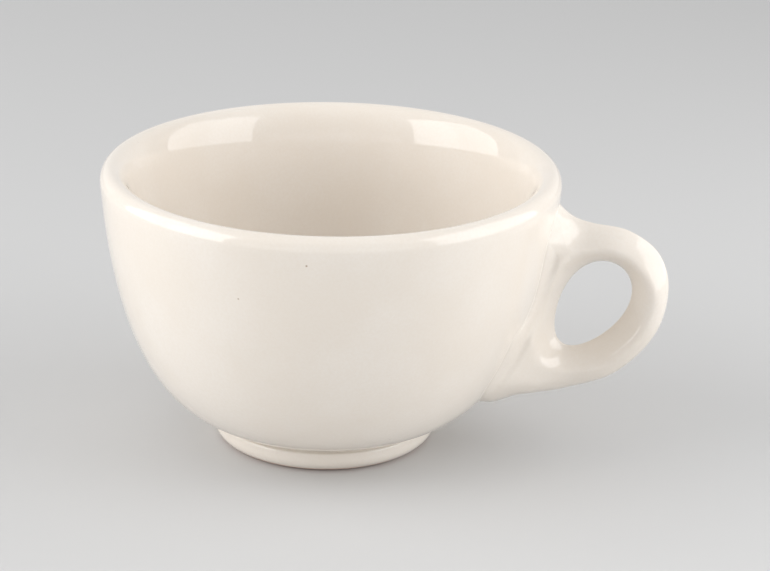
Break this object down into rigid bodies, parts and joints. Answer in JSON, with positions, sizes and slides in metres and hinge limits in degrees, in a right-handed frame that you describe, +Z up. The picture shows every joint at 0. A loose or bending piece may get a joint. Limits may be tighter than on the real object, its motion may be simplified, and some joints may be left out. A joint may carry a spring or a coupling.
{
  "type": "coffee cup",
  "caption": "Thick-walled cream glazed stoneware coffee cup with a rounded bowl, thick lip, low foot ring and a one-finger ear handle luted to its side.",
  "frame": {"origin": "on the table plane, under the middle of the cup's outline with its handle", "axes": "+Z up out of the cup's mouth, +X towards the handle"},
  "size_m": [0.1342, 0.108, 0.0676],
  "materials": {
    "cream_glaze": "soft gloss",
    "foot_glaze": "soft gloss, bare clay underneath",
    "slip_clay": "satin"
  },
  "bodies": {
    "root": {"bowl": "cream_glaze", "foot_ring": "foot_glaze", "handle": "cream_glaze", "handle_slip_joint": "slip_clay"}
  },
  "joints": []
}
